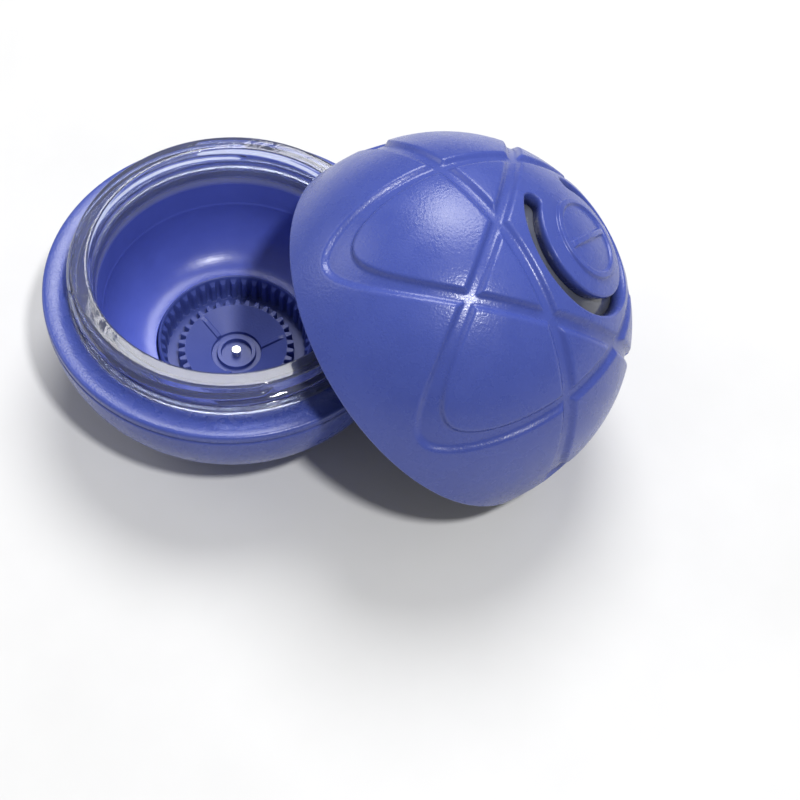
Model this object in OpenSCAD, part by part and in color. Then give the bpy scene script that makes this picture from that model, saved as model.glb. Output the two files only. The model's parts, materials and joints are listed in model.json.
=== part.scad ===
// Ball-shaped twist pill crusher, opened: the lower half stands on its foot and the
// domed lid leans against it. Origin at the centre of the foot, +Z up, millimetres.

/* [Lower half] */
// Outer radius of the lower shell at its ledge
shell_r = 33; // [30:0.5:36]
// Height of the flat ledge above the floor
ledge_z = 24; // [22:0.5:26]
// Full depth of the belly's curve below the ledge
belly_depth = 26.4; // [25.5:0.1:28]
// Wall thickness of both blue shells
shell_wall = 2.4; // [1.8:0.1:2.8]
// Fullness of the belly's curve, 2 being an ellipse
belly_power = 2.3; // [2.1:0.05:2.6]

/* [Crushing cup] */
// Outer radius of the clear neck
neck_r = 27.4; // [26.5:0.1:28]
// Height of the neck's top edge above the floor
neck_top_z = 30.8; // [29.5:0.1:31.5]
// Radius of the cup's mouth
mouth_r = 24.4; // [23.5:0.1:25]
// How far a screw ridge stands out from the neck
ridge_out = 0.8; // [0.5:0.1:1]
// Number of separate screw ridges round the neck
ridge_count = 4; // [2:1:6]
// Rise of one screw ridge over its own length
ridge_rise = 2.2; // [1:0.1:2.6]
// Angle that one screw ridge covers, in degrees
ridge_sweep = 112; // [80:2:120]

/* [Grinding plate] */
// Outer radius of the toothed ring on the floor of the cup
ring_r = 14.1; // [13.9:0.05:14.2]
// Height of the ring's top edge above the floor
ring_top_z = 7.3; // [7:0.1:7.5]
// Height of the dished disc's toothed rim above the floor
disc_top_z = 4.1; // [3.9:0.1:4.4]
// Number of teeth that point inwards from the ring
outer_teeth = 42; // [30:2:44]
// Number of teeth that point outwards from the disc
inner_teeth = 34; // [26:2:36]
// Radius at the tips of the ring's teeth
outer_tip_r = 12.8; // [12.7:0.05:12.9]
// Radius at the tips of the disc's teeth
inner_tip_r = 10.7; // [10.5:0.05:10.8]

/* [Lid] */
// Outer radius of the lid at its rim
lid_r = 32.7; // [32:0.1:33]
// Height of the lid above its rim
lid_h = 36.2; // [35:0.1:38]
// Fullness of the dome's curve, 2 being an ellipse
dome_power = 2.35; // [2.2:0.05:2.5]
// Depth of the decorative grooves
groove_depth = 0.8; // [0.5:0.1:1]
// Radius of the round badge at the top of the lid
badge_r = 10.2; // [9.5:0.1:10.5]
// Width of the C-shaped window that runs round the badge
window_w = 2.8; // [2:0.1:3]
// Angle of the bridge that joins the badge to the dome, in degrees
bridge_sweep = 57; // [40:1:70]

/* [Lid as it lies] */
// Tilt of the lid's axis away from upright, in degrees
lid_tilt = 44.1; // [42:0.1:46]
// Heading of that tilt, counter-clockwise from +X, in degrees
lid_heading = 6.2; // [0:0.1:12]
// Turn of the groove pattern about the lid's own axis, in degrees
lid_spin = 221.2; // [180:0.1:260]
// Distance of the rim's centre to the right of the lower half's axis
lid_x = 34.4; // [34:0.1:38]
// Distance of the rim's centre behind the lower half's axis
lid_y = -7; // [-9:0.5:-4]

/* [Presser] */
// Outer radius of the presser's head
head_r = 12; // [11.9:0.05:12.1]
// Radius of the presser's stem
stem_r = 5.4; // [5:0.1:5.6]
// Height of the presser's crown above the lid's rim while it is parked
crown_h = 2.1; // [2:0.1:2.6]

/* [Hidden] */
$fn = 96;

blue = [0.27, 0.33, 0.68];
clear_tint = [0.78, 0.80, 0.92, 0.55];
smoke = [0.42, 0.42, 0.55, 0.6];
steel = [0.75, 0.76, 0.78];
rubber = [0.16, 0.17, 0.22];
pale = [0.85, 0.86, 0.9];

eps = 0.01;                 // overlap that keeps a cut clean
fit_gap = 0.15;             // gap between nested moulded parts
slip_gap = 0.1;             // gap round small parts that drop into place
close_gap = 0.05;           // gap round pads and screw heads
curve_steps = 22;           // straight steps along each curved profile

// Lower half
belly_low_z = 0.4;          // the shell's underside; the pad stands this far below it
pad_r = 16.2;               // recess in the underside that takes the pad
pad_h = 0.8;
base_floor_z = 2.6;         // top of the shell's floor
ledge_hole_r = 26.8;
belly_in_r = shell_r - shell_wall;
belly_in_depth = belly_depth - shell_wall;

// Crushing cup
flange_r = 28.5;            // bead that the cup hangs by
flange_h = 1.2;
bead_bevel = 0.4;
cup_wall = 1.7;
cup_step_z = 17.4;          // where the straight mouth ends and the bowl begins
cup_step = 0.5;
mouth_taper = 0.8;
bowl_r = mouth_r - mouth_taper - cup_step;
bowl_floor_z = 6;
bowl_in_r = 14.5;           // hole in the cup's floor, round the toothed ring
lip_round = 0.6;
ridge_half = 0.75;          // half the height of a screw ridge at its foot
ridge_root = 0.6;           // how deep a ridge is rooted in its wall
ridge_tip = 0.25;           // half its height at its crest
ridge_steps = 5;
ridge_overlap = 1;          // angle by which each level arc laps over the next
ridge_low_z = 26.5;         // middle of a ridge at its lower end

// Grinding plate
plate_flange_r = 16;        // flange that rests on the shell's floor
plate_flange_top = 4;
plate_low_z = pad_h + 0.1;
outer_root_r = outer_tip_r + 0.7;
inner_root_r = inner_tip_r - 1.2;
ring_edge = 0.2;            // bevel of the ring's top edge
ring_lip_drop = 0.6;        // how far the ring's top slopes down to its teeth
tooth_tip_share = 0.22;     // half a tooth's width at its tip, as a share of the pitch
tooth_foot_share = 0.4;     // and at its foot
tooth_root = 0.2;           // how deep a tooth is rooted in its ring
tooth_bury = 0.1;           // how far the teeth reach into the groove's floor
outer_teeth_z = 5.9;
groove_floor_z = 1.8;
dish_low_z = 2;             // dish surface beside the moat
moat_r = 4.6;
boss_r = 3.6;
boss_hole_r = 2.8;
boss_top_z = 2.3;
moat_floor_z = 1.5;
pin_r = 0.8;
pin_top_z = 2.9;
rib_w = 0.9;
rib_h = 0.4;                // three low ribs cross the dish from the moat to the teeth
rib_heading = 20;
rib_end_gap = 0.3;          // distance from a rib's end to the dish's edge
plate_screw_pcd = 15.15;    // radius of the plate screws' circle
plate_screw_r = 0.5;
plate_screw_head_r = 0.85;
plate_screw_head_h = 0.7;
plate_screw_bite = 1;       // length of each plate screw inside the flange

// Lid
dome_in_r = lid_r - shell_wall;
dome_in_h = lid_h - shell_wall;
liner_r = dome_in_r - fit_gap;
liner_h = dome_in_h - fit_gap;
liner_wall = 1.65;
liner_in_r = liner_r - liner_wall;
liner_in_h = liner_h - liner_wall;
rim_round = 0.5;
lid_z = (lid_r - rim_round) * sin(lid_tilt) + rim_round * (1 - cos(lid_tilt));
gasket_h = 7;               // underside of the gasket above the rim
gasket_t = 1.1;
gasket_in_r = 24.8;
gasket_out_r = 27.8;
shelf_t = 1.4;              // shelf of the liner that backs the gasket
shelf_root = 0.3;           // how deep that shelf is rooted in the liner's wall
female_out = 0.7;
female_low_h = 2.1;
bridge_heading = -88.5;     // direction of the bridge from the badge
window_end_cut = 0.1;       // how much smaller than half the window its round ends are
female_heading = 20;        // where the liner's first ridge starts
emblem_r = 7.2;             // raised ring with a score line, like a scored tablet
emblem_w = 1.1;
emblem_rise = 0.45;
emblem_root = 2;            // depth of the ring and the line inside the badge
score_half = 5.4;           // half the length of the score line
groove_heading = 30;        // direction of the first groove loop; the others turn by a sixth
groove_long = 45.25;        // half-length of a groove loop, measured over the dome
groove_short = 16.25;       // half-width of a groove loop, measured over the dome
groove_tip_w = 5.7;         // width of the groove at the loop's tips
groove_side_w = 2.5;        // width of the groove along the loop's sides
groove_points = 26;
groove_bed_steps = 13;      // straight steps along the curve of the grooves' bed
dome_steps = 20;
walk_steps = 60;

// Presser and its guide
head_wall = 1.1;
crown_teeth = 38;
crown_tooth_h = 0.9;
crown_tooth_w = 0.8;
face_h = crown_h + 1.9;     // pressing face above the rim
face_dish = 0.6;            // how far the face is raised at its edge
head_floor_t = 1.4;
head_top_h = crown_h + 8.2;
stem_top_h = 30.4;
stem_bevel = 0.5;
screw_r = 1.1;              // guide screws
screw_head_r = 1.8;
screw_head_h = 1;
tube_gap = 0.2;             // running gap between the stem and its tube
tube_in_r = stem_r + tube_gap;
tube_out_r = 8;
tube_low_h = face_h + head_floor_t + 0.4;
tube_top_h = 29;
tube_flange_r = 12;
tube_flange_t = 1.6;
guide_screw_pcd = 9.9;
boss_out_r = 1.9;
boss_h = 2.2;
guide_screw_bite = 1.5;     // length of each guide screw inside its boss
cross_pin_r = 1;
cross_pin_h = 29.3;
cross_pin_reach = 7.4;      // half the length of the cross pin
slot_w = 2.3;
slot_low_h = 7.3;
stem_ring_h = 27.3;
stem_ring_wire = 0.5;
ring_mid_r = stem_r + 0.15 - stem_ring_wire;

// Radius of a dome of base radius rr and height hh, at height h
function dome_radius(h, rr, hh) = rr * sqrt(max(0, 1 - pow(h / hh, dome_power)));
// Height of the lid's skin above its rim, at plan radius r
function skin_h(r) = lid_h * pow(1 - pow(r / lid_r, 2), 1 / dome_power);
// Radius of the belly at depth d below the ledge
function belly_radius(d, rr, dd) = rr * pow(max(0, 1 - pow(d / dd, belly_power)), 1 / belly_power);
// Half section of a solid dome standing on its rim, with a rounded rim
function dome_section(rr, hh, steps, edge) = concat(
    [[0, 0], [rr - edge, 0]],
    [for (a = [-60:30:0]) [rr - edge + edge * cos(a), edge + edge * sin(a)]],
    [for (i = [1:steps]) let (h = hh * sin(90 * i / steps)) if (h > edge) [dome_radius(h, rr, hh), h]]);
// Half section of a solid belly from its ledge down to height z_low
function belly_section(rr, dd, z_low) = concat(
    [[0, z_low]],
    [for (i = [curve_steps:-1:0]) let (d = (ledge_z - z_low) * sin(90 * i / curve_steps))
        [belly_radius(d, rr, dd), ledge_z - d]],
    [[0, ledge_z]]);
// Height above the rim of a point on the dome's skin, by its step down from the apex
function walk_h(i) = lid_h * cos(90 * i / walk_steps);
// Distance over the skin from the apex paired with the plan radius there
over_dome = [for (i = 0, s = 0; i <= walk_steps;
    s = s + norm([dome_radius(walk_h(i + 1), lid_r, lid_h) - dome_radius(walk_h(i), lid_r, lid_h),
                  walk_h(i + 1) - walk_h(i)]), i = i + 1) [s, dome_radius(walk_h(i), lid_r, lid_h)]];
// Distance from the apex to a groove loop's edge, at angle d from the loop's long axis
function loop_reach(d, a, b) = 1 / sqrt(pow(cos(d) / a, 2) + pow(sin(d) / b, 2));
// One edge of a groove loop, seen along the lid's axis
function loop_outline(a, b) = [for (i = [0:groove_points - 1]) let (d = 360 * i / groove_points,
    r = lookup(loop_reach(d, a, b), over_dome)) [r * cos(d), r * sin(d)]];

// Puts a lid part, drawn standing on its rim, where the lid lies
module lie_as_lid() {
    translate([lid_x, lid_y, lid_z]) rotate([0, 0, lid_heading]) rotate([0, lid_tilt, 0])
        rotate([0, 0, lid_spin]) children();
}

// Copies its children n times round the Z axis
module ring_of(n) {
    for (i = [0:n - 1]) rotate([0, 0, 360 * i / n]) children();
}

// A screw ridge that climbs in short level arcs; out is negative on the inside of a bore
module screw_ridge(r, z_low, out) {
    root = r - sign(out) * ridge_root;
    for (i = [0:ridge_steps - 1]) rotate([0, 0, ridge_sweep * i / ridge_steps])
        translate([0, 0, z_low + ridge_rise * i / ridge_steps])
            rotate_extrude(angle = ridge_sweep / ridge_steps + ridge_overlap)
                polygon([[root, -ridge_half], [r + out, -ridge_tip],
                    [r + out, ridge_tip], [root, ridge_half]]);
}

// A ring of teeth that stand on r_root and point inwards where depth is negative
module tooth_ring(count, r_root, depth, h) {
    pitch = 360 / count;
    tip = tooth_tip_share * pitch;
    foot = tooth_foot_share * pitch;
    r_foot = r_root - sign(depth) * tooth_root;
    r_tip = r_root + depth;
    linear_extrude(h) for (i = [0:count - 1]) rotate(i * pitch) polygon([
        [r_foot * cos(foot), -r_foot * sin(foot)],
        [r_tip * cos(tip), -r_tip * sin(tip)],
        [r_tip * cos(tip), r_tip * sin(tip)],
        [r_foot * cos(foot), r_foot * sin(foot)]]);
}

module base_shell() {
    color(blue) difference() {
        rotate_extrude() polygon(belly_section(shell_r, belly_depth, belly_low_z));
        rotate_extrude() polygon(concat([[0, base_floor_z]],
            [for (i = [curve_steps:-1:0]) let (d = (ledge_z - base_floor_z) * sin(90 * i / curve_steps))
                if (d > shell_wall) [belly_radius(d, belly_in_r, belly_in_depth), ledge_z - d]],
            [[belly_in_r - 0.2, ledge_z - shell_wall], [0, ledge_z - shell_wall]]));
        translate([0, 0, ledge_z - shell_wall - eps]) cylinder(r = ledge_hole_r, h = shell_wall + 1);
        cylinder(r = pad_r, h = pad_h);
        cylinder(r = ring_r + slip_gap, h = base_floor_z + 1);
        ring_of(3) translate([plate_screw_pcd, 0, 0]) cylinder(r = plate_screw_r, h = base_floor_z + 1);
        ring_of(3) translate([plate_screw_pcd, 0, 0])
            cylinder(r = plate_screw_head_r + close_gap, h = pad_h + plate_screw_head_h);
    }
}

module foot_pad() {
    color(rubber) cylinder(r = pad_r - close_gap, h = pad_h);
}

module crush_cup() {
    arc_in = [for (a = [0:6:90]) [bowl_in_r + (bowl_r - bowl_in_r) * cos(a),
        cup_step_z - cup_step + (bowl_floor_z - cup_step_z + cup_step) * sin(a)]];
    arc_out = [for (a = [90:-6:0]) [bowl_in_r + (bowl_r + cup_wall - bowl_in_r) * cos(a),
        cup_step_z - cup_step + (bowl_floor_z - cup_wall - cup_step_z + cup_step) * sin(a)]];
    color(clear_tint) {
        rotate_extrude() polygon(concat(
            [[mouth_r, neck_top_z - lip_round]],
            [[bowl_r + cup_step, cup_step_z]],
            arc_in,
            arc_out,
            [[ledge_hole_r - 0.2, ledge_z - shell_wall - 1], [ledge_hole_r - 0.2, ledge_z]],
            [[flange_r, ledge_z], [flange_r, ledge_z + flange_h - bead_bevel]],
            [[flange_r - bead_bevel, ledge_z + flange_h]],
            [[neck_r, ledge_z + flange_h], [neck_r, neck_top_z - lip_round]],
            [[neck_r - lip_round, neck_top_z], [mouth_r + lip_round, neck_top_z]]));
        ring_of(ridge_count) screw_ridge(neck_r, ridge_low_z, ridge_out);
    }
}

module cup_seal() {
    seal_h = bowl_floor_z - cup_wall - plate_flange_top;
    color(rubber) translate([0, 0, plate_flange_top]) difference() {
        cylinder(r = plate_flange_r - slip_gap, h = seal_h);
        translate([0, 0, -1]) cylinder(r = bowl_in_r + slip_gap, h = seal_h + 2);
    }
}

module grind_plate() {
    tooth_low_z = groove_floor_z - tooth_bury;
    outer_depth = outer_tip_r - outer_root_r;
    inner_depth = inner_tip_r - inner_root_r;
    rib_r = inner_root_r - rib_end_gap;
    color(blue) difference() {
        union() {
            rotate_extrude() polygon([
                [0, plate_low_z], [ring_r, plate_low_z], [ring_r, base_floor_z],
                [plate_flange_r, base_floor_z], [plate_flange_r, plate_flange_top],
                [ring_r, plate_flange_top], [ring_r, ring_top_z - ring_edge],
                [ring_r - ring_edge, ring_top_z], [outer_root_r, ring_top_z - ring_lip_drop],
                [outer_root_r, groove_floor_z], [inner_root_r, groove_floor_z],
                [inner_root_r, disc_top_z], [moat_r, dish_low_z], [moat_r, moat_floor_z],
                [boss_r, moat_floor_z], [boss_r, boss_top_z], [boss_hole_r, boss_top_z],
                [boss_hole_r, moat_floor_z], [0, moat_floor_z]]);
            rotate([0, 0, rib_heading]) ring_of(3) rotate([90, 0, 0]) translate([0, 0, -rib_w / 2])
                linear_extrude(rib_w) polygon([[moat_r, dish_low_z - rib_h],
                    [rib_r, disc_top_z - 2 * rib_h], [rib_r, disc_top_z],
                    [moat_r, dish_low_z + rib_h]]);
            translate([0, 0, tooth_low_z]) rotate([0, 0, 180 / outer_teeth])
                tooth_ring(outer_teeth, outer_root_r, outer_depth, outer_teeth_z - tooth_low_z);
            translate([0, 0, tooth_low_z])
                tooth_ring(inner_teeth, inner_root_r, inner_depth, disc_top_z - tooth_bury - tooth_low_z);
        }
        translate([0, 0, plate_low_z - 1]) cylinder(r = pin_r, h = 2);
        ring_of(3) translate([plate_screw_pcd, 0, base_floor_z - 1])
            cylinder(r = plate_screw_r, h = 1 + plate_screw_bite);
    }
}

module centre_pin() {
    color(steel) translate([0, 0, plate_low_z]) cylinder(r = pin_r, h = pin_top_z - plate_low_z);
}

module plate_screws() {
    head_low_z = pad_h + close_gap;
    color(steel) ring_of(3) translate([plate_screw_pcd, 0, head_low_z]) {
        cylinder(r = plate_screw_head_r, h = plate_screw_head_h - close_gap);
        cylinder(r = plate_screw_r, h = base_floor_z + plate_screw_bite - head_low_z);
    }
}

// The three crossing groove loops, seen along the lid's axis
module groove_loops() {
    for (k = [0:2]) rotate(groove_heading + 60 * k) difference() {
        polygon(loop_outline(groove_long + groove_tip_w / 2, groove_short + groove_side_w / 2));
        polygon(loop_outline(groove_long - groove_tip_w / 2, groove_short - groove_side_w / 2));
    }
}

module lid_shell() {
    color(blue) lie_as_lid() difference() {
        union() {
            rotate_extrude() polygon(dome_section(lid_r, lid_h, dome_steps, rim_round));
            badge_emblem();
        }
        translate([0, 0, -eps]) rotate_extrude()
            polygon(dome_section(dome_in_r, dome_in_h, dome_steps, eps));
        difference() {
            linear_extrude(lid_h + 1) groove_loops();
            translate([0, 0, -groove_depth])
                rotate_extrude() polygon(dome_section(lid_r - groove_depth, lid_h, groove_bed_steps, eps));
        }
        badge_window();
    }
}

// Raised ring and score line on the badge, both as high above the skin all over
module badge_emblem() {
    emblem_in_r = emblem_r - emblem_w;
    low_h = lid_h - emblem_root;
    rotate_extrude() polygon([
        [emblem_in_r, low_h], [emblem_r, low_h],
        [emblem_r, skin_h(emblem_r) + emblem_rise], [emblem_in_r, skin_h(emblem_in_r) + emblem_rise]]);
    rotate([90, 0, 0]) translate([0, 0, -emblem_w / 2]) linear_extrude(emblem_w) polygon(concat(
        [[-score_half, low_h], [score_half, low_h]],
        [for (x = [3:-1:-3]) [score_half * x / 3, skin_h(score_half * x / 3) + emblem_rise]]));
}

// C-shaped slot with round ends that leaves the badge on its bridge
module badge_window() {
    mid_r = badge_r + window_w / 2;
    end_turn = bridge_sweep / 2 + window_w * 90 / (PI * mid_r);
    rotate([0, 0, bridge_heading]) {
        rotate([0, 0, end_turn]) rotate_extrude(angle = 360 - 2 * end_turn)
            translate([badge_r, lid_h / 2]) square([window_w, lid_h]);
        for (turn = [-end_turn, end_turn]) rotate([0, 0, turn]) translate([mid_r, 0, lid_h / 2])
            cylinder(r = window_w / 2 - window_end_cut, h = lid_h);
    }
}

module lid_liner() {
    color(smoke) lie_as_lid() {
        difference() {
            union() {
                difference() {
                    rotate_extrude() polygon(dome_section(liner_r, liner_h, dome_steps, eps));
                    translate([0, 0, -eps])
                        rotate_extrude() polygon(dome_section(liner_in_r, liner_in_h, dome_steps, eps));
                }
                ring_of(3) translate([guide_screw_pcd, 0, tube_top_h])
                    cylinder(r = boss_out_r, h = boss_h);
                translate([0, 0, gasket_h + gasket_t]) cylinder(r = liner_in_r + shelf_root, h = shelf_t);
            }
            translate([0, 0, gasket_h]) cylinder(r = gasket_in_r, h = gasket_t + shelf_t + 1);
            ring_of(3) translate([guide_screw_pcd, 0, tube_top_h - 1])
                cylinder(r = screw_r, h = 1 + guide_screw_bite);
        }
        ring_of(ridge_count) rotate([0, 0, female_heading])
            screw_ridge(liner_in_r, female_low_h, -female_out);
    }
}

module mouth_gasket() {
    color(rubber) lie_as_lid() translate([0, 0, gasket_h]) difference() {
        cylinder(r = gasket_out_r, h = gasket_t);
        translate([0, 0, -1]) cylinder(r = gasket_in_r, h = gasket_t + 2);
    }
}

module guide_tube() {
    color(pale) lie_as_lid() difference() {
        union() {
            translate([0, 0, tube_low_h]) cylinder(r = tube_out_r, h = tube_top_h - tube_low_h);
            translate([0, 0, tube_top_h - tube_flange_t]) cylinder(r = tube_flange_r, h = tube_flange_t);
        }
        translate([0, 0, tube_low_h - 1]) cylinder(r = tube_in_r, h = tube_top_h);
        translate([-tube_out_r - 1, -slot_w / 2, slot_low_h])
            cube([2 * tube_out_r + 2, slot_w, tube_top_h]);
        ring_of(3) translate([guide_screw_pcd, 0, tube_top_h - 3]) cylinder(r = screw_r, h = 4);
    }
}

module guide_screws() {
    head_low_h = tube_top_h - tube_flange_t - screw_head_h;
    color(steel) lie_as_lid() ring_of(3) translate([guide_screw_pcd, 0, head_low_h]) {
        cylinder(r = screw_head_r, h = screw_head_h);
        cylinder(r = screw_r, h = screw_head_h + tube_flange_t + guide_screw_bite);
    }
}

module presser() {
    head_in_r = head_r - head_wall;
    color(blue) lie_as_lid() difference() {
        union() {
            rotate_extrude() polygon([
                [0, face_h], [inner_tip_r, face_h + face_dish], [head_in_r, face_h + face_dish],
                [head_in_r, crown_h + crown_tooth_h], [head_r, crown_h + crown_tooth_h],
                [head_r, head_top_h], [head_in_r, head_top_h],
                [head_in_r, face_h + head_floor_t], [stem_r, face_h + head_floor_t],
                [stem_r, stem_top_h - stem_bevel], [stem_r - stem_bevel, stem_top_h], [0, stem_top_h]]);
            ring_of(crown_teeth) translate([head_in_r + close_gap, -crown_tooth_w / 2, crown_h])
                cube([head_wall - 2 * close_gap, crown_tooth_w, crown_tooth_h + 0.2]);
        }
        translate([0, 0, cross_pin_h]) rotate([90, 0, 90])
            cylinder(r = cross_pin_r, h = 4 * cross_pin_reach, center = true);
        translate([0, 0, stem_ring_h - stem_ring_wire - close_gap]) difference() {
            cylinder(r = stem_r + 1, h = 2 * (stem_ring_wire + close_gap));
            translate([0, 0, -1]) cylinder(r = ring_mid_r - stem_ring_wire - close_gap, h = 4);
        }
    }
}

module stem_cross_pin() {
    color(steel) lie_as_lid() translate([0, 0, cross_pin_h]) rotate([90, 0, 90])
        cylinder(r = cross_pin_r, h = 2 * cross_pin_reach, center = true);
}

module stem_ring() {
    color(rubber) lie_as_lid() rotate_extrude() translate([ring_mid_r, stem_ring_h])
        circle(r = stem_ring_wire);
}

base_shell();
foot_pad();
crush_cup();
cup_seal();
grind_plate();
centre_pin();
plate_screws();
lid_shell();
lid_liner();
mouth_gasket();
guide_tube();
guide_screws();
presser();
stem_cross_pin();
stem_ring();
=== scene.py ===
"""Looks for the opened ball-shaped pill crusher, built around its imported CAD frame.

Shapes are computed in millimetres and stored in metres. The lower half turns about Z;
every lid part is drawn standing on its rim and then laid where the lid lies.
"""

import json
import math

import bmesh
import bpy
import numpy as np
from mathutils import Matrix, Vector


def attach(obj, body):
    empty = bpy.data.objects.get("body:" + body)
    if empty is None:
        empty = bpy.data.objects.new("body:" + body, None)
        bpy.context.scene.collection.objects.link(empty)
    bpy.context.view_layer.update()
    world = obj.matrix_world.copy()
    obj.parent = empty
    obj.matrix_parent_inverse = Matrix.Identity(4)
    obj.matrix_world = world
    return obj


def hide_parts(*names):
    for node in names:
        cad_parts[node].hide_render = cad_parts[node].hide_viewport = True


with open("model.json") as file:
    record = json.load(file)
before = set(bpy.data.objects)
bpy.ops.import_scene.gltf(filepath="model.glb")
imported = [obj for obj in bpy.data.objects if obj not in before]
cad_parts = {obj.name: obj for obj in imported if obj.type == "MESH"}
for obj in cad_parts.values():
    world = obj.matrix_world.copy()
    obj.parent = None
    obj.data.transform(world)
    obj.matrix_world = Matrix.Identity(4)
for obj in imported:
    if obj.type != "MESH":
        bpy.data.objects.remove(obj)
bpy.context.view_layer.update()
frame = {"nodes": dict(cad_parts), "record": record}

MM = 0.001

# ---- Lower half ----
SHELL_R = 33.0
LEDGE_Z = 24.0
BELLY_DEPTH = 26.4
BELLY_POWER = 2.3
SHELL_WALL = 2.4
BELLY_LOW_Z = 0.4
SHELL_FLOOR_Z = 2.6
FLOOR_HOLE_R = 14.2
LEDGE_HOLE_R = 26.8
PAD_R = 16.2
PAD_H = 0.8

# ---- Crushing cup ----
NECK_R = 27.4
NECK_TOP_Z = 30.8
MOUTH_R = 24.4
FLANGE_R = 28.5
FLANGE_H = 1.2
CUP_WALL = 1.7
CUP_STEP_Z = 17.4
CUP_STEP = 0.5
SOFT_STEP = 0.12
MOUTH_TAPER = 0.8
BOWL_FLOOR_Z = 6.0
BOWL_IN_R = 14.5
RIDGE_COUNT = 4
RIDGE_OUT = 0.8
RIDGE_RISE = 2.2
RIDGE_SWEEP = 112.0
RIDGE_LOW_Z = 26.5
RIDGE_HALF = 0.75
RIDGE_TIP = 0.25
RIDGE_TAPER = 5.0  # degrees over which a ridge fades out at each end

# ---- Grinding plate ----
RING_R = 14.1
RING_TOP_Z = 7.3
DISC_TOP_Z = 4.1
OUTER_TEETH = 42
INNER_TEETH = 34
OUTER_TIP_R = 12.8
OUTER_ROOT_R = 13.5
INNER_TIP_R = 10.7
INNER_ROOT_R = 9.5
OUTER_TEETH_Z = 5.9
GROOVE_FLOOR_Z = 1.8
DISH_LOW_Z = 2.0
MOAT_R = 4.6
BOSS_R = 3.6
BOSS_HOLE_R = 2.8
BOSS_TOP_Z = 2.3
MOAT_FLOOR_Z = 1.5
FLANGE_TOP_Z = 4.0
PLATE_R = 16.0
PLATE_LOW_Z = 0.9
RIB_HEADINGS = (20.0, 140.0, 260.0)
RIB_W = 0.9
RIB_H = 0.4
TOOTH_FOOT = 0.36  # half a tooth's width at its foot, as a share of the pitch
TOOTH_TIP = 0.2  # and at its tip

# ---- Lid ----
LID_R = 32.7
LID_H = 36.2
DOME_POWER = 2.35
RIM_ROUND = 0.5
GROOVE_DEPTH = 0.8
LOOP_LONG = 45.25
LOOP_SHORT = 16.25
TIP_W = 5.7
SIDE_W = 2.5
LOOP_HEADINGS = (30.0, 90.0, 150.0)
BADGE_R = 10.2
WINDOW_W = 2.8
BRIDGE_SWEEP = 57.0
BRIDGE_HEADING = -88.5
EMBLEM_R = 7.2
EMBLEM_W = 1.1
EMBLEM_RISE = 0.45
EMBLEM_SOFT = 0.18
SCORE_INSET = 1.8  # distance from the score line's end to the ring's edge
SLOT_ROUND = 0.35
SLOT_SNAP = 0.075  # vertices this near the slot's edge move onto it
LINER_R = 30.15
LINER_H = 33.65
LINER_WALL = 1.65
SHELF_LOW = 8.1
SHELF_TOP = 9.5
SHELF_IN_R = 24.8
FEMALE_LOW = 2.1
FEMALE_OUT = 0.7
FEMALE_HEADING = 20.0

# ---- Where the lid lies ----
TILT = 44.1
HEADING = 6.2
SPIN = 221.2
LID_X, LID_Y = 34.4, -7.0
LID_Z = (LID_R - RIM_ROUND) * math.sin(math.radians(TILT)) + RIM_ROUND * (
    1 - math.cos(math.radians(TILT))
)
LIE = (
    Matrix.Translation((LID_X * MM, LID_Y * MM, LID_Z * MM))
    @ Matrix.Rotation(math.radians(HEADING), 4, "Z")
    @ Matrix.Rotation(math.radians(TILT), 4, "Y")
    @ Matrix.Rotation(math.radians(SPIN), 4, "Z")
)
UPRIGHT = Matrix.Identity(4)


# ---- Mesh helpers ----
def smooth_step(x, low, high):
    """0 below low, 1 above high, and a smooth rise between."""
    t = np.clip((x - low) / (high - low), 0, 1)
    return t * t * (3 - 2 * t)


def turn_gap(azimuth, heading):
    """Signed angle in degrees from heading to azimuth, within half a turn."""
    return (azimuth - heading + 180) % 360 - 180


def fillet(points, radius, steps=4):
    """The outline with each corner rounded to radius, or less where its sides are short."""
    points = [Vector(p) for p in points]
    rounded, n = [], len(points)
    for i, corner in enumerate(points):
        before, after = points[i - 1] - corner, points[(i + 1) % n] - corner
        angle = before.angle(after) if before.length and after.length else math.pi
        if angle > math.radians(172) or corner.x < 1e-6:
            rounded.append(tuple(corner))
            continue
        reach = min(
            radius / math.tan(angle / 2), 0.45 * before.length, 0.45 * after.length
        )
        start, end = (
            corner + before.normalized() * reach,
            corner + after.normalized() * reach,
        )
        for k in range(steps + 1):
            t = k / steps
            rounded.append(
                tuple(
                    start * (1 - t) ** 2 + corner * 2 * t * (1 - t) + end * t * t
                )
            )
    return rounded


def subdivided(points, step):
    """The closed outline with no stretch longer than step."""
    fine = []
    for i, a in enumerate(points):
        b = points[(i + 1) % len(points)]
        parts = max(1, math.ceil(math.dist(a, b) / step))
        fine += [
            (a[0] + (b[0] - a[0]) * k / parts, a[1] + (b[1] - a[1]) * k / parts)
            for k in range(parts)
        ]
    return fine


def make_object(name, verts, faces, place):
    """A mesh object from vertices in mm, laid out by the matrix place."""
    mesh = bpy.data.meshes.new(name)
    mesh.from_pydata((np.asarray(verts) * MM).tolist(), [], faces)
    mesh.transform(place)
    mesh.validate()
    mesh.polygons.foreach_set("use_smooth", [True] * len(mesh.polygons))
    obj = bpy.data.objects.new(name, mesh)
    bpy.context.scene.collection.objects.link(obj)
    return obj


def grid_faces(rows, around, closed_rows=False):
    """Quads of a grid whose rows run round an axis."""
    i = np.arange(rows if closed_rows else rows - 1)[:, None]
    j = np.arange(around)[None, :]
    up, side = (i + 1) % rows, (j + 1) % around
    return np.stack(
        [i * around + j, i * around + side, up * around + side, up * around + j], -1
    ).reshape(-1, 4)


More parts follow.
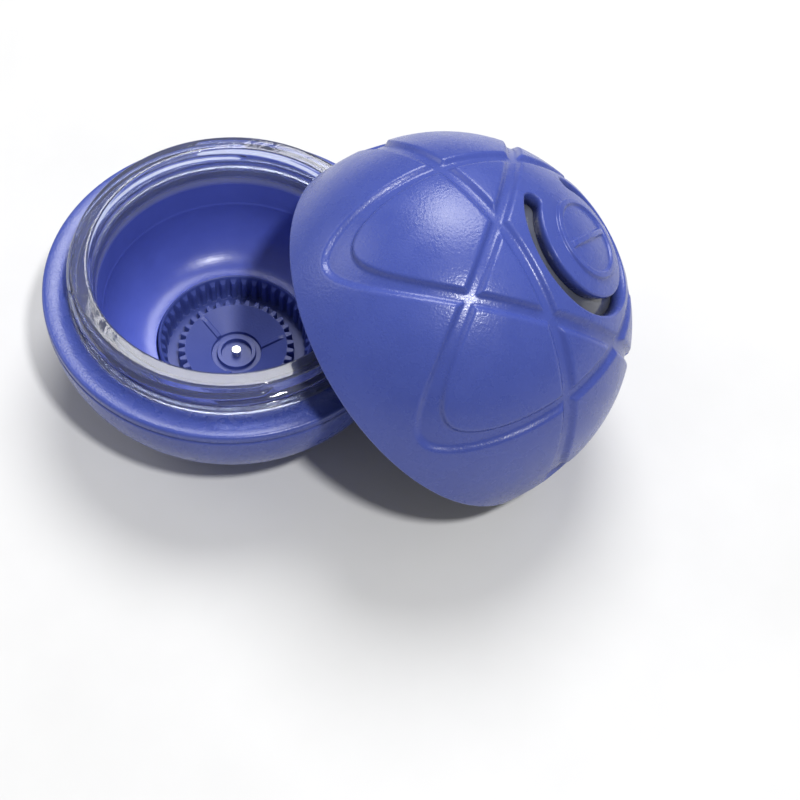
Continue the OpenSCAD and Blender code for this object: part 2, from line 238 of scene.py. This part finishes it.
def lathe(outline, around, lift=None):
    """Vertices and faces of a closed outline (radius, height) turned round Z.

    lift(radius, height, azimuth) gives a change of radius.
    """
    radius, height = np.array(outline).T
    azimuth = np.arange(around) * 360 / around
    r = np.repeat(radius[:, None], around, 1)
    z = np.repeat(height[:, None], around, 1)
    if lift is not None:
        r = r + lift(r, z, azimuth[None, :])
    a = np.radians(azimuth)[None, :]
    verts = np.stack([r * np.cos(a), r * np.sin(a), z], -1).reshape(-1, 3)
    return verts, grid_faces(len(outline), around, closed_rows=True)


def lathe_piece(name, outline, around, place=UPRIGHT, lift=None):
    """A welded object from an outline turned round Z."""
    verts, faces = lathe(outline, around, lift)
    obj = make_object(name, verts, faces.tolist(), place)
    weld(obj)
    return obj


def weld(obj):
    """Joins vertices that meet, as at the axis, and makes the faces point outwards."""
    bm = bmesh.new()
    bm.from_mesh(obj.data)
    bmesh.ops.remove_doubles(bm, verts=bm.verts, dist=1e-7)
    bmesh.ops.dissolve_degenerate(bm, edges=bm.edges, dist=1e-8)
    bmesh.ops.recalc_face_normals(bm, faces=bm.faces)
    bm.to_mesh(obj.data)
    bm.free()


def ridge_height(z, azimuth, low, start, out):
    """How far the screw ridges stand out at height z, each one a true helix with tapered ends."""
    height = np.zeros(np.broadcast(z, azimuth).shape)
    for k in range(RIDGE_COUNT):
        along = (azimuth - start - 360 * k / RIDGE_COUNT) % 360
        middle = low + RIDGE_RISE * along / RIDGE_SWEEP
        flank = 1 - smooth_step(np.abs(z - middle), RIDGE_TIP, RIDGE_HALF)
        ends = smooth_step(along, 0, RIDGE_TAPER) * (
            1 - smooth_step(along, RIDGE_SWEEP - RIDGE_TAPER, RIDGE_SWEEP)
        )
        height = np.maximum(height, out * flank * ends)
    return height


# ---- Lid shapes ----
def dome_radius(h, rim_r, top):
    """Radius at height h of a dome with a rim of radius rim_r."""
    return rim_r * np.sqrt(np.clip(1 - (h / top) ** DOME_POWER, 0, 1))


def dome_walk(rim_r, top):
    """Distance over the skin from the apex, with the radius and height there."""
    t = np.linspace(0, np.pi / 2, 4000)
    h = top * np.cos(t)
    r = dome_radius(h, rim_r, top)
    r[0] = 0
    s = np.concatenate([[0], np.cumsum(np.hypot(np.diff(h), np.diff(r)))])
    return s, r, h


def loop_edge(angle, a, b):
    """Distance from the apex to a loop's edge at angle from its long axis, and its slope."""
    c, s = np.cos(angle), np.sin(angle)
    reach = 1 / np.sqrt((c / a) ** 2 + (s / b) ** 2)
    slope = -(reach**3) * c * s * (1 / b**2 - 1 / a**2)
    return reach, slope


def groove_depth(walk, radius, azimuth):
    """Depth of the three crossing groove loops, with rounded edges."""
    depth = np.zeros(np.broadcast(walk, azimuth).shape)
    for heading in LOOP_HEADINGS:
        angle = np.radians(azimuth - heading)
        beyond = []
        for side in (-1, 1):
            reach, slope = loop_edge(
                angle, LOOP_LONG + side * TIP_W / 2, LOOP_SHORT + side * SIDE_W / 2
            )
            steep = np.sqrt(1 + (slope / np.maximum(radius, 1)) ** 2)
            beyond.append(-side * (walk - reach) / steep)
        into = np.minimum(*beyond)
        depth = np.maximum(depth, GROOVE_DEPTH * smooth_step(into, -0.35, 0.75))
    return depth


def window_gap(x, y):
    """Distance in plan to the C-shaped slot, negative inside it."""
    mid = BADGE_R + WINDOW_W / 2
    end = BRIDGE_SWEEP / 2 + math.degrees(WINDOW_W / 2 / mid)
    r, azimuth = np.hypot(x, y), np.degrees(np.arctan2(y, x))
    turn = turn_gap(azimuth, BRIDGE_HEADING)
    ring = np.abs(r - mid)
    ends = np.radians(BRIDGE_HEADING + np.where(turn < 0, -end, end))
    cap = np.hypot(x - mid * np.cos(ends), y - mid * np.sin(ends))
    return np.where(np.abs(turn) < end, cap, ring) - WINDOW_W / 2


def emblem_lift(x, y):
    """Raised ring with a score line across it, like a scored tablet."""
    ring = np.abs(np.hypot(x, y) - (EMBLEM_R - EMBLEM_W / 2)) - EMBLEM_W / 2
    bar = np.maximum(np.abs(y) - EMBLEM_W / 2, np.abs(x) - (EMBLEM_R - SCORE_INSET))
    return EMBLEM_RISE * (1 - smooth_step(np.minimum(ring, bar), -EMBLEM_SOFT, EMBLEM_SOFT))


def dome_shell():
    """The lid's blue shell: grooved skin, badge, C-shaped slot, rounded rim and inner wall."""
    around = 600
    walk_all, r_all, h_all = dome_walk(LID_R, LID_H)

    def walk_at_radius(values):
        return np.interp(values, r_all, walk_all)

    walk = np.unique(
        np.concatenate(
            [
                walk_at_radius(np.arange(0.25, 5.7, 0.3)),
                walk_at_radius(np.arange(5.7, 7.6, 0.09)),
                walk_at_radius(np.arange(7.6, 9.6, 0.3)),
                walk_at_radius(np.arange(9.6, 13.7, 0.1)),
                np.arange(walk_at_radius(13.8), walk_all[-1] - RIM_ROUND, 0.3),
            ]
        )
    )
    r0, h0 = np.interp(walk, walk_all, r_all), np.interp(walk, walk_all, h_all)
    slope_r, slope_h = np.gradient(r0, walk), np.gradient(h0, walk)
    size = np.hypot(slope_r, slope_h)
    normal_r, normal_h = -slope_h / size, slope_r / size
    azimuth = np.arange(around) * 360 / around
    a = np.radians(azimuth)[None, :]
    x, y = r0[:, None] * np.cos(a), r0[:, None] * np.sin(a)

    # vertices next to the slot's edge move onto it, so that the edge is a clean curve
    gap = window_gap(x, y)
    step = 0.01
    gx = (window_gap(x + step, y) - window_gap(x - step, y)) / (2 * step)
    gy = (window_gap(x, y + step) - window_gap(x, y - step)) / (2 * step)
    near = np.abs(gap) < SLOT_SNAP
    x, y = np.where(near, x - gap * gx, x), np.where(near, y - gap * gy, y)
    gap = np.where(near, 0, gap)
    r = np.hypot(x, y)
    h_here = np.interp(r, r_all, h_all)
    height = np.where(near, h_here, h0[:, None])

    inside = np.clip(SLOT_ROUND - np.maximum(gap, 0), 0, SLOT_ROUND)
    drop = SLOT_ROUND - np.sqrt(np.maximum(SLOT_ROUND**2 - inside**2, 0))
    lift = emblem_lift(x, y) - drop - groove_depth(walk[:, None], r0[:, None], azimuth[None, :])

    c, s = np.cos(a), np.sin(a)
    skin = np.stack(
        [
            x + lift * normal_r[:, None] * c,
            y + lift * normal_r[:, None] * s,
            height + lift * normal_h[:, None],
        ],
        -1,
    )
    inner = np.stack(
        [
            x - SHELL_WALL * normal_r[:, None] * c,
            y - SHELL_WALL * normal_r[:, None] * s,
            height - SHELL_WALL * normal_h[:, None],
        ],
        -1,
    )
    rows = len(walk)
    quads = grid_faces(rows, around)
    centre = gap.reshape(-1)[quads].mean(1)
    quads = quads[centre > 0]

    # rim: a rounded outer corner, a flat foot and a softer inner corner
    inner_r = LID_R - SHELL_WALL
    rim = [
        (LID_R - RIM_ROUND + RIM_ROUND * math.cos(t), RIM_ROUND - RIM_ROUND * math.sin(t))
        for t in np.linspace(0, math.pi / 2, 6)
    ] + [
        (inner_r + 0.3 - 0.3 * math.sin(t), 0.3 - 0.3 * math.cos(t))
        for t in np.linspace(0, math.pi / 2, 4)
    ]
    rim_verts = [
        (rr * math.cos(t), rr * math.sin(t), hh) for rr, hh in rim for t in np.radians(azimuth)
    ]
    count = rows * around
    verts = np.concatenate([skin.reshape(-1, 3), inner.reshape(-1, 3), np.array(rim_verts)])
    faces = [tuple(q) for q in quads.tolist()]
    faces += [tuple(v + count for v in reversed(q)) for q in quads.tolist()]

    # walls of the slot join the skin to the inner wall
    edges = {}
    for q in quads.tolist():
        for i in range(4):
            pair = (q[i], q[(i + 1) % 4])
            edges[pair] = edges.get(pair, 0) + 1
    first, last = around, (rows - 1) * around
    for u, v in edges:
        if (v, u) not in edges and not (max(u, v) < first or min(u, v) >= last):
            faces.append((v, u, u + count, v + count))

    loops = [last] + [2 * count + k * around for k in range(len(rim))] + [count + last]
    for top, low in zip(loops, loops[1:]):
        for j in range(around):
            k = (j + 1) % around
            faces.append((top + j, top + k, low + k, low + j))
    caps = [(tuple(range(around)))[::-1], tuple(count + j for j in range(around))]
    faces += caps
    obj = make_object("lid_dome", verts, faces, LIE)
    weld(obj)
    return obj


def liner():
    """The clear inner dome with its gasket shelf and the screw ridges that take the neck."""
    def wall(rim_r, top, low, high, steps=40):
        heights = low + (high - low) * np.sin(np.linspace(0, np.pi / 2, steps))
        return [(float(dome_radius(h, rim_r, top)), float(h)) for h in heights]

    in_r, in_h = LINER_R - LINER_WALL, LINER_H - LINER_WALL
    outer = wall(LINER_R, LINER_H, 0.3, LINER_H)
    roof = wall(in_r, in_h, SHELF_TOP, in_h)[::-1]
    shelf = fillet(
        [
            (float(dome_radius(SHELF_TOP, in_r, in_h)), SHELF_TOP),
            (SHELF_IN_R, SHELF_TOP),
            (SHELF_IN_R, SHELF_LOW),
            (float(dome_radius(SHELF_LOW, in_r, in_h)), SHELF_LOW),
        ],
        0.3,
    )[1:-1]
    bore = [
        (float(dome_radius(h, in_r, in_h)), float(h))
        for h in np.arange(SHELF_LOW - 0.2, 0.3, -0.15)
    ]
    outline = outer + roof + shelf + bore + [(in_r + 0.3, 0.02), (LINER_R - 0.3, 0.02)]

    def lift(r, z, azimuth):
        in_bore = (r < in_r + 0.05) & (z < SHELF_LOW - 0.1)
        return np.where(
            in_bore, -ridge_height(z, azimuth, FEMALE_LOW, FEMALE_HEADING, FEMALE_OUT), 0
        )

    return lathe_piece("lid_liner_dome", outline, 360, LIE, lift)


# ---- Lower half shapes ----
def belly_radius(d, rim_r, depth):
    """Radius of the belly at depth d below the ledge."""
    return rim_r * np.clip(1 - (d / depth) ** BELLY_POWER, 0, None) ** (1 / BELLY_POWER)


def base_shell():
    """The blue lower shell, with a softly rounded ledge and a recess for the pad."""
    drop = (LEDGE_Z - BELLY_LOW_Z) * np.sin(np.linspace(0, np.pi / 2, 60))
    outer = [(float(belly_radius(d, SHELL_R, BELLY_DEPTH)), float(LEDGE_Z - d)) for d in drop]
    in_drop = SHELL_WALL + (LEDGE_Z - SHELL_WALL - SHELL_FLOOR_Z) * np.sin(
        np.linspace(np.pi / 2, 0.06, 50)
    )
    inner = [
        (
            float(belly_radius(d, SHELL_R - SHELL_WALL, BELLY_DEPTH - SHELL_WALL)),
            float(LEDGE_Z - d),
        )
        for d in in_drop
    ]
    outline = (
        fillet([(0, LEDGE_Z), (LEDGE_HOLE_R, LEDGE_Z), (SHELL_R, LEDGE_Z), outer[3]], 0.7, 6)[1:-2]
        + outer[3:]
        + [(PAD_R, BELLY_LOW_Z), (PAD_R, PAD_H)]
        + [(FLOOR_HOLE_R, PAD_H), (FLOOR_HOLE_R, SHELL_FLOOR_Z)]
        + inner
        + [(SHELL_R - SHELL_WALL - 0.3, LEDGE_Z - SHELL_WALL), (LEDGE_HOLE_R, LEDGE_Z - SHELL_WALL)]
    )
    return lathe_piece("base_bowl", outline, 360)


def cup():
    """The clear cup: lip, neck with helical ridges, bead, and the bowl down to the plate."""
    bowl_r = MOUTH_R - MOUTH_TAPER - CUP_STEP
    rise = CUP_STEP_Z - CUP_STEP - BOWL_FLOOR_Z
    turns = np.linspace(0, np.pi / 2, 30)
    bowl_in = [
        (BOWL_IN_R + (bowl_r - BOWL_IN_R) * math.cos(t), BOWL_FLOOR_Z + rise * (1 - math.sin(t)))
        for t in turns
    ]
    bowl_out = [
        (
            BOWL_IN_R + (bowl_r + CUP_WALL - BOWL_IN_R) * math.cos(t),
            BOWL_FLOOR_Z - CUP_WALL + (rise + CUP_WALL) * (1 - math.sin(t)),
        )
        for t in turns[::-1]
    ]
    hang_r = LEDGE_HOLE_R - 0.2
    upper = fillet(
        [
            bowl_out[-1],
            (hang_r, LEDGE_Z - SHELL_WALL - 1),
            (hang_r, LEDGE_Z),
            (FLANGE_R, LEDGE_Z),
            (FLANGE_R, LEDGE_Z + FLANGE_H),
            (NECK_R, LEDGE_Z + FLANGE_H),
            (NECK_R, NECK_TOP_Z),
            (MOUTH_R, NECK_TOP_Z),
            (bowl_r + SOFT_STEP, CUP_STEP_Z),
            bowl_in[0],
        ],
        0.45,
        5,
    )
    outline = subdivided(bowl_in + bowl_out[:-1] + upper[5:-5], 0.16)

    def lift(r, z, azimuth):
        on_neck = (r > NECK_R - 0.02) & (z > LEDGE_Z + FLANGE_H + 0.1)
        return np.where(on_neck, ridge_height(z, azimuth, RIDGE_LOW_Z, 0, RIDGE_OUT), 0)

    return lathe_piece("clear_cup", outline, 480, UPRIGHT, lift)


def teeth(r, azimuth, count, root, tip, soft):
    """1 on a tooth and 0 between teeth, for a ring of teeth from root to tip."""
    pitch = 360 / count
    off = np.abs((azimuth + pitch / 2) % pitch - pitch / 2)
    half = pitch * np.interp((r - root) / (tip - root), [0, 1], [TOOTH_FOOT, TOOTH_TIP])
    side = (half - off) * math.radians(1) * r
    end = (tip - r) * math.copysign(1, tip - root)
    return smooth_step(np.minimum(side, end), -soft, soft)


def plate_height(r, azimuth):
    """Height of the grinding plate's top: boss, moat, dish with ribs, two rings of teeth."""
    soft = 0.07

    def rise(edge):
        return smooth_step(r, edge - soft, edge + soft)

    dish = np.interp(r, [MOAT_R, INNER_ROOT_R], [DISH_LOW_Z, DISC_TOP_Z])
    for heading in RIB_HEADINGS:
        turn = turn_gap(azimuth, heading)
        gap = np.abs(r * np.sin(np.radians(turn)))
        rib = (1 - smooth_step(gap, RIB_W / 2 - 0.12, RIB_W / 2 + 0.12)) * (np.abs(turn) < 90)
        dish = dish + RIB_H * rib * (1 - smooth_step(r, INNER_ROOT_R - 1.6, INNER_ROOT_R - 0.2))
    z = np.full(np.broadcast(r, azimuth).shape, MOAT_FLOOR_Z)
    z = z + (BOSS_TOP_Z - MOAT_FLOOR_Z) * (rise(BOSS_HOLE_R) - rise(BOSS_R))
    z = z + (dish - z) * rise(MOAT_R)
    inner = teeth(r, azimuth, INNER_TEETH, INNER_ROOT_R, INNER_TIP_R, soft)
    z = np.where(
        r > INNER_ROOT_R, GROOVE_FLOOR_Z + (DISC_TOP_Z - 0.05 - GROOVE_FLOOR_Z) * inner, z
    )
    outer = teeth(r, azimuth + 180 / OUTER_TEETH, OUTER_TEETH, OUTER_ROOT_R, OUTER_TIP_R, soft)
    crest = np.interp(
        r,
        [OUTER_TIP_R, OUTER_ROOT_R, RING_R - 0.3],
        [OUTER_TEETH_Z - 0.1, OUTER_TEETH_Z + 0.7, RING_TOP_Z],
    )
    outer = np.maximum(outer, rise(OUTER_ROOT_R))
    middle = (INNER_TIP_R + OUTER_TIP_R) / 2
    z = np.where(r > middle, GROOVE_FLOOR_Z + (crest - GROOVE_FLOOR_Z) * outer, z)
    return z - 0.3 * smooth_step(r, RING_R - 0.3, RING_R)


def grinding_plate():
    """The toothed plate as a height field closed by its side wall and underside."""
    around = 756
    edges = (BOSS_HOLE_R, BOSS_R, MOAT_R, RING_R - 0.15)
    clusters = [np.arange(e - 0.12, e + 0.13, 0.04) for e in edges]
    fine = [
        np.arange(INNER_ROOT_R - 0.2, INNER_TIP_R + 0.2, 0.07),
        np.arange(OUTER_TIP_R - 0.2, OUTER_ROOT_R + 0.2, 0.07),
    ]
    radii = np.unique(np.concatenate(clusters + fine + [np.arange(0.3, RING_R, 0.3), [RING_R]]))
    azimuth = np.arange(around) * 360 / around
    top = plate_height(radii[:, None], azimuth[None, :])
    side = [
        (RING_R, FLANGE_TOP_Z),
        (PLATE_R - 0.1, FLANGE_TOP_Z),
        (PLATE_R, FLANGE_TOP_Z - 0.1),
        (PLATE_R, SHELL_FLOOR_Z),
        (RING_R, SHELL_FLOOR_Z),
        (RING_R, PLATE_LOW_Z),
        (1.0, PLATE_LOW_Z),
    ]
    r_all = np.concatenate([radii, [p[0] for p in side]])
    z_all = np.concatenate([top, np.repeat([[p[1]] for p in side], around, 1)])
    a = np.radians(azimuth)[None, :]
    verts = np.stack(
        [r_all[:, None] * np.cos(a), r_all[:, None] * np.sin(a), z_all], -1
    ).reshape(-1, 3)
    faces = grid_faces(len(r_all), around).tolist()
    last = (len(r_all) - 1) * around
    faces += [list(range(around))[::-1], [last + j for j in range(around)]]
    obj = make_object("grinding_plate", verts, faces, UPRIGHT)
    weld(obj)
    return obj


# ---- Materials ----
def new_material(name):
    mat = bpy.data.materials.new(name)
    mat.use_nodes = True
    return mat, mat.node_tree.nodes, mat.node_tree.links, mat.node_tree.nodes["Principled BSDF"]


def noise(nodes, links, scale, detail=4.0, roughness=0.6):
    place = nodes.get("Texture Coordinate") or nodes.new("ShaderNodeTexCoord")
    node = nodes.new("ShaderNodeTexNoise")
    node.inputs["Scale"].default_value = scale
    node.inputs["Detail"].default_value = detail
    node.inputs["Roughness"].default_value = roughness
    links.new(place.outputs["Object"], node.inputs["Vector"])
    return node


def ramp(nodes, links, source, stops):
    node = nodes.new("ShaderNodeValToRGB")
    while len(node.color_ramp.elements) < len(stops):
        node.color_ramp.elements.new(0.5)
    for element, (at, colour) in zip(node.color_ramp.elements, stops):
        element.position = at
        element.color = (*colour, 1) if len(colour) == 3 else colour
    links.new(source, node.inputs["Fac"])
    return node.outputs["Color"]


def grey(value):
    return (value, value, value)


def bump(nodes, links, source, strength, distance, before=None):
    node = nodes.new("ShaderNodeBump")
    node.inputs["Strength"].default_value = strength
    node.inputs["Distance"].default_value = distance
    links.new(source, node.inputs["Height"])
    if before is not None:
        links.new(before, node.inputs["Normal"])
    return node.outputs["Normal"]


def moulded_plastic(name, dark, light, rough, grain, specks=True):
    """Satin moulded plastic: slow colour drift, fine spark-eroded grain and a few mould specks."""
    mat, nodes, links, shader = new_material(name)
    drift = noise(nodes, links, 60, 3)
    colour = ramp(nodes, links, drift.outputs["Fac"], [(0.3, dark), (0.72, light)])
    links.new(colour, shader.inputs["Base Color"])
    fine = noise(nodes, links, 2300, 2, 0.6)
    patch = noise(nodes, links, 240, 4)
    roughness = ramp(
        nodes, links, patch.outputs["Fac"], [(0.3, grey(rough - 0.05)), (0.7, grey(rough + 0.06))]
    )
    links.new(roughness, shader.inputs["Roughness"])
    normal = bump(nodes, links, fine.outputs["Fac"], grain, 0.00008)
    if specks:
        dots = nodes.new("ShaderNodeTexVoronoi")
        dots.inputs["Scale"].default_value = 130
        links.new(nodes["Texture Coordinate"].outputs["Object"], dots.inputs["Vector"])
        speck = ramp(nodes, links, dots.outputs["Distance"], [(0.02, grey(1)), (0.045, grey(0))])
        normal = bump(nodes, links, speck, 0.2, 0.00005, normal)
    links.new(normal, shader.inputs["Normal"])
    return mat, shader


def blue_shell():
    mat, shader = moulded_plastic(
        "blue_shell", (0.046, 0.070, 0.30), (0.055, 0.082, 0.335), 0.27, 0.6
    )
    shader.inputs["IOR"].default_value = 1.5
    shader.inputs["Specular IOR Level"].default_value = 0.45
    shader.inputs["Subsurface Weight"].default_value = 0.08
    shader.inputs["Subsurface Radius"].default_value = (0.3, 0.4, 1.0)
    shader.inputs["Subsurface Scale"].default_value = 0.002
    return mat


def blue_plate():
    mat, shader = moulded_plastic(
        "blue_plate", (0.042, 0.060, 0.24), (0.050, 0.071, 0.27), 0.42, 0.3, specks=False
    )
    shader.inputs["Specular IOR Level"].default_value = 0.35
    return mat


def blend_value(nodes, links, share, low, high):
    """A number that runs from low to high as share runs from 0 to 1."""
    node = nodes.new("ShaderNodeMapRange")
    node.inputs["To Min"].default_value = low
    node.inputs["To Max"].default_value = high
    links.new(share, node.inputs["Value"])
    return node.outputs["Result"]


def blend_colour(nodes, links, share, low, high):
    """A colour that runs from low to high, each a colour or a socket, as share runs from 0 to 1."""
    node = nodes.new("ShaderNodeMix")
    node.data_type = "RGBA"
    links.new(share, node.inputs["Factor"])
    for name, value in (("A", low), ("B", high)):
        sockets = [i for i in node.inputs if i.name == name and i.type == "RGBA"]
        if isinstance(value, tuple):
            sockets[0].default_value = (*value, 1)
        else:
            links.new(value, sockets[0])
    return [o for o in node.outputs if o.type == "RGBA"][0]


def clear_plastic():
    """The cup's two-shot moulding: a clear, bright neck that runs into a glossy blue bowl."""
    mat, nodes, links, shader = new_material("clear_plastic")
    haze = noise(nodes, links, 130, 5)
    ripple = noise(nodes, links, 330, 3, 0.5)
    split = nodes.new("ShaderNodeSeparateXYZ")
    links.new(nodes["Texture Coordinate"].outputs["Object"], split.inputs["Vector"])
    upper = nodes.new("ShaderNodeMapRange")
    upper.inputs["From Min"].default_value = (LEDGE_Z - 2.0) * MM
    upper.inputs["From Max"].default_value = (LEDGE_Z + 0.3) * MM
    links.new(split.outputs["Z"], upper.inputs["Value"])
    neck = upper.outputs["Result"]
    clean = ramp(nodes, links, haze.outputs["Fac"], [(0.4, grey(0.04)), (0.75, grey(0.12))])
    links.new(
        blend_colour(nodes, links, neck, grey(0.3), clean), shader.inputs["Roughness"]
    )
    links.new(
        blend_value(nodes, links, neck, 0.12, 0.93), shader.inputs["Transmission Weight"]
    )
    bowl = ramp(
        nodes,
        links,
        haze.outputs["Fac"],
        [(0.25, (0.075, 0.105, 0.46)), (0.75, (0.09, 0.125, 0.52))],
    )
    clear = ramp(
        nodes, links, haze.outputs["Fac"], [(0.2, (0.62, 0.69, 0.99)), (0.8, (0.78, 0.83, 1.0))]
    )
    links.new(blend_colour(nodes, links, neck, bowl, clear), shader.inputs["Base Color"])
    links.new(bump(nodes, links, ripple.outputs["Fac"], 0.2, 0.0003), shader.inputs["Normal"])
    shader.inputs["IOR"].default_value = 1.48
    return mat


def smoke_plastic():
    """The liner: clear plastic, painted a dark grey base colour that stands for the shade inside
    the closed lid behind it.
    """
    mat, nodes, links, shader = new_material("smoke_plastic")
    flow = noise(nodes, links, 180, 4)
    # painted shade: the dark grey base colour stands for the shade seen through the clear liner,
    # not a smoked tint
    painted_shade_tint = ramp(
        nodes, links, flow.outputs["Fac"], [(0.3, (0.10, 0.11, 0.15)), (0.7, (0.15, 0.16, 0.21))]
    )
    links.new(painted_shade_tint, shader.inputs["Base Color"])
    rough = ramp(nodes, links, flow.outputs["Fac"], [(0.35, grey(0.08)), (0.75, grey(0.17))])
    links.new(rough, shader.inputs["Roughness"])
    links.new(bump(nodes, links, flow.outputs["Fac"], 0.1, 0.0003), shader.inputs["Normal"])
    shader.inputs["Transmission Weight"].default_value = 0.35
    shader.inputs["IOR"].default_value = 1.49
    return mat


def white_plastic():
    mat, _ = moulded_plastic(
        "white_plastic", (0.66, 0.67, 0.70), (0.74, 0.75, 0.78), 0.35, 0.3
    )
    return mat


def rubber():
    mat, nodes, links, shader = new_material("rubber")
    grain = noise(nodes, links, 900, 5)
    stops = [(0.3, (0.02, 0.022, 0.035)), (0.7, (0.04, 0.043, 0.06))]
    links.new(ramp(nodes, links, grain.outputs["Fac"], stops), shader.inputs["Base Color"])
    links.new(
        ramp(nodes, links, grain.outputs["Fac"], [(0.3, grey(0.62)), (0.7, grey(0.82))]),
        shader.inputs["Roughness"],
    )
    links.new(bump(nodes, links, grain.outputs["Fac"], 0.5, 0.0001), shader.inputs["Normal"])
    return mat


def steel():
    mat, nodes, links, shader = new_material("steel")
    turning = noise(nodes, links, 1500, 4)
    stops = [(0.3, (0.55, 0.56, 0.58)), (0.7, (0.68, 0.69, 0.70))]
    links.new(ramp(nodes, links, turning.outputs["Fac"], stops), shader.inputs["Base Color"])
    links.new(
        ramp(nodes, links, turning.outputs["Fac"], [(0.3, grey(0.2)), (0.7, grey(0.38))]),
        shader.inputs["Roughness"],
    )
    links.new(bump(nodes, links, turning.outputs["Fac"], 0.15, 0.00005), shader.inputs["Normal"])
    shader.inputs["Metallic"].default_value = 1.0
    return mat


def paint(obj, mat):
    obj.data.materials.clear()
    obj.data.materials.append(mat)


MATERIALS = {
    "blue_shell": blue_shell(),
    "blue_plate": blue_plate(),
    "clear_plastic": clear_plastic(),
    # smoke_plastic is clear plastic whose dark grey colour is painted shade
    "smoke_plastic": smoke_plastic(),
    "white_plastic": white_plastic(),
    "rubber": rubber(),
    "steel": steel(),
}

# ---- Pieces ----
PIECES = [
    (dome_shell, "lid", "lid_shell", "blue_shell"),
    # the liner's dark grey colour is painted shade from inside the lid
    (liner, "lid", "lid_liner", "smoke_plastic"),
    (base_shell, "base", "base_shell", "blue_shell"),
    (cup, "base", "crush_cup", "clear_plastic"),
    (grinding_plate, "base", "grind_plate", "blue_plate"),
]
for build, body, node, slot in PIECES:
    piece = build()
    paint(piece, MATERIALS[slot])
    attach(piece, body)
    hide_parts(node)

replaced = {node for _, _, node, _ in PIECES}
for entry in frame["record"]["subparts"]:
    if entry["node"] not in replaced:
        paint(frame["nodes"][entry["node"]], MATERIALS[entry["material_slot"]])


# ---- Stage ----
def studio_floor():
    """A plain pale floor that curves up a long way behind."""
    half, bend = 1.6, 0.5
    rows = [(-half, 0.0), (half - bend, 0.0)]
    rows += [
        (half - bend + bend * math.sin(t), bend - bend * math.cos(t))
        for t in np.linspace(0.1, math.pi / 2, 16)
    ]
    verts = [(x, y, z) for y, z in rows for x in (-half, half)]
    faces = [(2 * i, 2 * i + 1, 2 * i + 3, 2 * i + 2) for i in range(len(rows) - 1)]
    mesh = bpy.data.meshes.new("studio_floor")
    mesh.from_pydata(verts, [], faces)
    mesh.polygons.foreach_set("use_smooth", [True] * len(mesh.polygons))
    floor = bpy.data.objects.new("studio_floor", mesh)
    bpy.context.scene.collection.objects.link(floor)
    mat, nodes, links, shader = new_material("floor_paper")
    paper = noise(nodes, links, 30, 4)
    links.new(
        ramp(nodes, links, paper.outputs["Fac"], [(0.3, grey(0.63)), (0.7, grey(0.66))]),
        shader.inputs["Base Color"],
    )
    shader.inputs["Roughness"].default_value = 0.9
    floor.data.materials.append(mat)


def area_light(name, size, power, place, target):
    """A round soft light at place, turned to face target."""
    data = bpy.data.lights.new(name, "AREA")
    data.shape = "DISK"
    data.size = size
    data.energy = power
    lamp = bpy.data.objects.new(name, data)
    lamp.location = place
    lamp.rotation_euler = (Vector(target) - Vector(place)).to_track_quat("-Z", "Y").to_euler()
    lamp.visible_camera = False
    bpy.context.scene.collection.objects.link(lamp)


studio_floor()
MIDDLE = (0.02, -0.005, 0.02)
area_light("key_back", 0.5, 6.4, (0.06, 0.42, 0.78), MIDDLE)
area_light("glint", 0.07, 4.6, (0.222, -0.31, 0.78), MIDDLE)
area_light("fill_left", 0.5, 1.3, (-0.75, 0.2, 0.5), MIDDLE)

world = bpy.data.worlds.new("studio")
world.use_nodes = True
world.node_tree.nodes["Background"].inputs["Color"].default_value = (1, 1, 1, 1)
world.node_tree.nodes["Background"].inputs["Strength"].default_value = 0.26
bpy.context.scene.world = world
bpy.context.scene.view_settings.view_transform = "Standard"


# ---- Camera ----
CAMERA_AT = (31.0, -183.3, 265.1)
PITCH = 56.30
ROLL = 4.48
LENS = 77.6

down, roll = math.radians(PITCH), math.radians(ROLL)
ahead = Vector((0, math.cos(down), -math.sin(down)))
up = Vector((0, math.sin(down), math.cos(down)))
right = Vector((1, 0, 0))
axis_x = math.cos(roll) * right + math.sin(roll) * up
axis_y = -math.sin(roll) * right + math.cos(roll) * up
lens = bpy.data.cameras.new("camera")
lens.lens = LENS
lens.sensor_width = 36.0
lens.clip_start = 0.01
camera = bpy.data.objects.new("camera", lens)
camera.matrix_world = Matrix.Translation(Vector(CAMERA_AT) * MM) @ Matrix(
    (axis_x, axis_y, -ahead)
).transposed().to_4x4()
bpy.context.scene.collection.objects.link(camera)
bpy.context.scene.camera = camera
